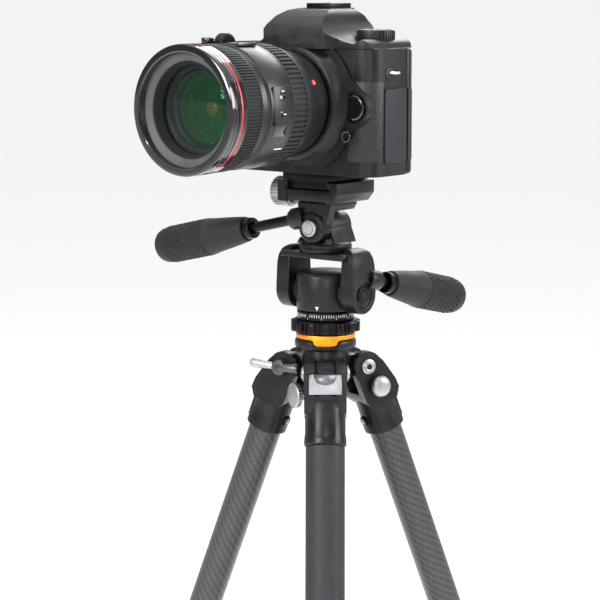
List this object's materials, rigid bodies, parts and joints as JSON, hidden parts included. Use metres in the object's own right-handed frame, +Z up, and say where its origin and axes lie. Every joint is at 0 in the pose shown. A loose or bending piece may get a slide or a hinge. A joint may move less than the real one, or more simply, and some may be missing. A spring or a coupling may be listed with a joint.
{
  "type": "camera on tripod",
  "caption": "Single-lens reflex camera with zoom lens on a two-handle pan and tilt head with a folding carbon-fibre tripod.",
  "frame": {"origin": "centre of the outline on the floor, under the feet", "axes": "+Z up, the lens looks along -Y, the user's left hand side is +X"},
  "size_m": [0.3668, 0.3902, 0.7333],
  "materials": {
    "cast_black": "black sand-textured powder coat on die castings",
    "anodised_black": "black anodised aluminium",
    "plastic_black": "fine-grained black moulded polycarbonate",
    "rubber_black": "matt black moulded rubber",
    "carbon": "woven carbon fibre under satin lacquer",
    "silver": "satin anodised aluminium",
    "orange": "orange anodised aluminium",
    "glass_coated": "multi-coated optical glass"
  },
  "bodies": {
    "base": {"spider": "cast_black"},
    "leg_1_upper": {"leg_1_bracket": "cast_black", "leg_1_upper_tube": "carbon", "leg_1_sleeve": "rubber_black"},
    "leg_1_angle_stop": {"leg_1_angle_stop": "silver"},
    "leg_1_upper_lock": {"leg_1_upper_lock": "rubber_black"},
    "leg_1_lower_lock": {"leg_1_lower_lock": "rubber_black"},
    "leg_1_middle": {"leg_1_middle_tube": "carbon"},
    "leg_1_lower": {"leg_1_lower_tube": "carbon"},
    "leg_2_upper": {"leg_2_bracket": "cast_black", "leg_2_upper_tube": "carbon"},
    "leg_2_angle_stop": {"leg_2_angle_stop": "silver"},
    "leg_2_upper_lock": {"leg_2_upper_lock": "rubber_black"},
    "leg_2_lower_lock": {"leg_2_lower_lock": "rubber_black"},
    "leg_2_middle": {"leg_2_middle_tube": "carbon"},
    "leg_2_lower": {"leg_2_lower_tube": "carbon"},
    "leg_3_upper": {"leg_3_bracket": "cast_black", "leg_3_upper_tube": "carbon"},
    "leg_3_angle_stop": {"leg_3_angle_stop": "silver"},
    "leg_3_upper_lock": {"leg_3_upper_lock": "rubber_black"},
    "leg_3_lower_lock": {"leg_3_lower_lock": "rubber_black"},
    "leg_3_middle": {"leg_3_middle_tube": "carbon"},
    "leg_3_lower": {"leg_3_lower_tube": "carbon"},
    "column_clamp_knob": {"column_clamp_knob": "silver"},
    "column_lever": {"column_lever": "silver"},
    "shoulder_knob": {"shoulder_knob": "silver"},
    "column": {"center_column": "anodised_black", "top_plate": "orange", "pan_base": "cast_black"},
    "lock_ring": {"lock_ring": "anodised_black"},
    "pan": {"pan_body": "cast_black"},
    "tilt": {"fork": "cast_black", "tilt_base": "cast_black", "roll_pin": "silver", "tilt_rod": "anodised_black"},
    "tilt_grip": {"tilt_grip": "rubber_black"},
    "roll": {"roll_bracket": "cast_black", "roll_rod": "anodised_black", "clamp_body": "cast_black"},
    "roll_grip": {"roll_grip": "rubber_black"},
    "jaw": {"clamp_jaw": "cast_black"},
    "release_knob": {"clamp_knob": "silver"},
    "camera": {"quick_plate": "anodised_black", "body_shell": "plastic_black", "rear_cover": "plastic_black", "top_cover": "plastic_black", "hand_grip": "rubber_black", "hot_shoe": "silver", "battery": "plastic_black", "lens_barrel": "plastic_black"},
    "port_cover": {"port_cover": "rubber_black"},
    "mode_dial": {"mode_dial": "plastic_black"},
    "main_dial": {"main_dial": "plastic_black"},
    "rear_dial": {"rear_dial": "plastic_black"},
    "shutter_button": {"shutter_button": "plastic_black"},
    "lens_release_button": {"lens_release_button": "plastic_black"},
    "zoom_ring": {"zoom_ring": "rubber_black"},
    "focus_ring": {"focus_ring": "rubber_black"},
    "front_barrel": {"front_barrel": "plastic_black", "front_element": "glass_coated"}
  },
  "joints": [
    {"name": "leg_1_fold", "type": "hinge", "parent": "base", "child": "leg_1_upper", "pos_m": [0.05607, -0.03538, 0.48384], "axis": [0.788, 0.6157, 0], "range_deg": [0, 21]},
    {"name": "leg_1_stop_pull", "type": "slide", "parent": "leg_1_upper", "child": "leg_1_angle_stop", "axis": [0.5748, -0.7357, 0.3584], "range_m": [0, 0.005], "stiffness_N_per_m": 300},
    {"name": "leg_1_middle_slide", "type": "slide", "parent": "leg_1_upper", "child": "leg_1_middle", "axis": [0.2206, -0.2824, -0.9336], "range_m": [0, 0.3]},
    {"name": "leg_1_lower_slide", "type": "slide", "parent": "leg_1_middle", "child": "leg_1_lower", "axis": [0.2206, -0.2824, -0.9336], "range_m": [0, 0.3]},
    {"name": "leg_1_upper_twist", "type": "hinge", "parent": "leg_1_upper", "child": "leg_1_upper_lock", "pos_m": [0.15103, -0.15693, 0.09317], "axis": [0.2206, -0.2824, -0.9336], "range_deg": [0, 90]},
    {"name": "leg_1_lower_twist", "type": "hinge", "parent": "leg_1_middle", "child": "leg_1_lower_lock", "pos_m": [0.15986, -0.16822, 0.05583], "axis": [0.2206, -0.2824, -0.9336], "range_deg": [0, 90]},
    {"name": "leg_2_fold", "type": "hinge", "parent": "base", "child": "leg_2_upper", "pos_m": [0.0498, 0.00922, 0.48384], "axis": [-0.9272, 0.3746, 0], "range_deg": [0, 21]},
    {"name": "leg_2_stop_pull", "type": "slide", "parent": "leg_2_upper", "child": "leg_2_angle_stop", "axis": [0.3497, 0.8656, 0.3584], "range_m": [0, 0.005], "stiffness_N_per_m": 300},
    {"name": "leg_2_middle_slide", "type": "slide", "parent": "leg_2_upper", "child": "leg_2_middle", "axis": [0.1342, 0.3323, -0.9336], "range_m": [0, 0.3]},
    {"name": "leg_2_lower_slide", "type": "slide", "parent": "leg_2_middle", "child": "leg_2_lower", "axis": [0.1342, 0.3323, -0.9336], "range_m": [0, 0.3]},
    {"name": "leg_2_upper_twist", "type": "hinge", "parent": "leg_2_upper", "child": "leg_2_upper_lock", "pos_m": [0.10758, 0.15224, 0.09317], "axis": [0.1342, 0.3323, -0.9336], "range_deg": [0, 90]},
    {"name": "leg_2_lower_twist", "type": "hinge", "parent": "leg_2_middle", "child": "leg_2_lower_lock", "pos_m": [0.11295, 0.16553, 0.05583], "axis": [0.1342, 0.3323, -0.9336], "range_deg": [0, 90]},
    {"name": "leg_3_fold", "type": "hinge", "parent": "base", "child": "leg_3_upper", "pos_m": [0.01431, -0.01851, 0.48384], "axis": [0.1392, -0.9903, 0], "range_deg": [0, 21]},
    {"name": "leg_3_stop_pull", "type": "slide", "parent": "leg_3_upper", "child": "leg_3_angle_stop", "axis": [-0.9245, -0.1299, 0.3584], "range_m": [0, 0.005], "stiffness_N_per_m": 300},
    {"name": "leg_3_middle_slide", "type": "slide", "parent": "leg_3_upper", "child": "leg_3_middle", "axis": [-0.3549, -0.0499, -0.9336], "range_m": [0, 0.3]},
    {"name": "leg_3_lower_slide", "type": "slide", "parent": "leg_3_middle", "child": "leg_3_lower", "axis": [-0.3549, -0.0499, -0.9336], "range_m": [0, 0.3]},
    {"name": "leg_3_upper_twist", "type": "hinge", "parent": "leg_3_upper", "child": "leg_3_upper_lock", "pos_m": [-0.13844, -0.03997, 0.09317], "axis": [-0.3549, -0.0499, -0.9336], "range_deg": [0, 90]},
    {"name": "leg_3_lower_twist", "type": "hinge", "parent": "leg_3_middle", "child": "leg_3_lower_lock", "pos_m": [-0.15263, -0.04197, 0.05583], "axis": [-0.3549, -0.0499, -0.9336], "range_deg": [0, 90]},
    {"name": "column_clamp_turn", "type": "hinge", "parent": "base", "child": "column_clamp_knob", "pos_m": [0.04006, -0.01489, 0.46584], "axis": [-0.3746, -0.9272, 0], "range_deg": [0, 360]},
    {"name": "column_lever_swing", "type": "hinge", "parent": "base", "child": "column_lever", "pos_m": [0.01431, -0.01851, 0.48384], "axis": [0.1392, -0.9903, 0], "range_deg": [0, 30]},
    {"name": "shoulder_knob_turn", "type": "hinge", "parent": "leg_2_upper", "child": "shoulder_knob", "pos_m": [0.0528, 0.01664, 0.46984], "axis": [0.9272, -0.3746, 0], "range_deg": [0, 360]},
    {"name": "column_raise", "type": "slide", "parent": "base", "child": "column", "axis": [0, 0, 1], "range_m": [0, 0.28]},
    {"name": "lock_ring_turn", "type": "hinge", "parent": "column", "child": "lock_ring", "pos_m": [0.04006, -0.01489, 0.51384], "axis": [0, 0, 1], "range_deg": [0, 60]},
    {"name": "pan", "type": "hinge", "parent": "column", "child": "pan", "pos_m": [0.04006, -0.01489, 0.52384], "axis": [0, 0, 1], "continuous": true},
    {"name": "tilt", "type": "hinge", "parent": "pan", "child": "tilt", "pos_m": [0.04006, -0.01489, 0.53684], "axis": [1, 0, 0], "range_deg": [-25, 90]},
    {"name": "tilt_grip_twist", "type": "hinge", "parent": "tilt", "child": "tilt_grip", "pos_m": [0.07006, -0.00989, 0.54764], "axis": [0, 0.9744, -0.225], "range_deg": [0, 180]},
    {"name": "roll", "type": "hinge", "parent": "tilt", "child": "roll", "pos_m": [0.04006, -0.01489, 0.58184], "axis": [0, 1, 0], "range_deg": [-10, 45]},
    {"name": "roll_grip_twist", "type": "hinge", "parent": "roll", "child": "roll_grip", "pos_m": [0.02806, -0.02789, 0.58754], "axis": [-0.9744, 0, -0.225], "range_deg": [0, 180]},
    {"name": "jaw_open", "type": "slide", "parent": "roll", "child": "jaw", "axis": [-1, 0, 0], "range_m": [0, 0.0026]},
    {"name": "release_knob_turn", "type": "hinge", "parent": "jaw", "child": "release_knob", "pos_m": [0.00606, -0.01489, 0.60384], "axis": [-1, 0, 0], "range_deg": [0, 720]},
    {"name": "plate_slide", "type": "slide", "parent": "roll", "child": "camera", "axis": [0, 1, 0], "range_m": [-0.018, 0.018]},
    {"name": "port_cover_open", "type": "hinge", "parent": "camera", "child": "port_cover", "pos_m": [0.09966, -0.00539, 0.65284], "axis": [0, 0, 1], "range_deg": [0, 100]},
    {"name": "mode_dial_turn", "type": "hinge", "parent": "camera", "child": "mode_dial", "pos_m": [0.08056, -0.01289, 0.71184], "axis": [0, 0, 1], "continuous": true},
    {"name": "main_dial_turn", "type": "hinge", "parent": "camera", "child": "main_dial", "pos_m": [-0.03094, -0.03739, 0.70434], "axis": [1, 0, 0], "continuous": true},
    {"name": "rear_dial_turn", "type": "hinge", "parent": "camera", "child": "rear_dial", "pos_m": [-0.02594, 0.00811, 0.65584], "axis": [0, 1, 0], "continuous": true},
    {"name": "shutter_press", "type": "slide", "parent": "camera", "child": "shutter_button", "axis": [0, 0, -1], "range_m": [0, 0.0009], "stiffness_N_per_m": 600},
    {"name": "lens_release_press", "type": "slide", "parent": "camera", "child": "lens_release_button", "axis": [0, 1, 0], "range_m": [0, 0.0012], "stiffness_N_per_m": 600},
    {"name": "zoom_turn", "type": "hinge", "parent": "camera", "child": "zoom_ring", "pos_m": [0.04006, -0.12189, 0.66784], "axis": [0, -1, 0], "range_deg": [0, 75]},
    {"name": "focus_turn", "type": "hinge", "parent": "camera", "child": "focus_ring", "pos_m": [0.04006, -0.13489, 0.66784], "axis": [0, -1, 0], "range_deg": [0, 110]},
    {"name": "lens_extend", "type": "slide", "parent": "camera", "child": "front_barrel", "axis": [0, -1, 0], "range_m": [0, 0.03]}
  ],
  "couplings": [
    {"joint": "jaw_open", "follows": "release_knob_turn", "m_per_rad": 0.0002},
    {"joint": "lens_extend", "follows": "zoom_turn", "m_per_rad": 0.0229}
  ]
}
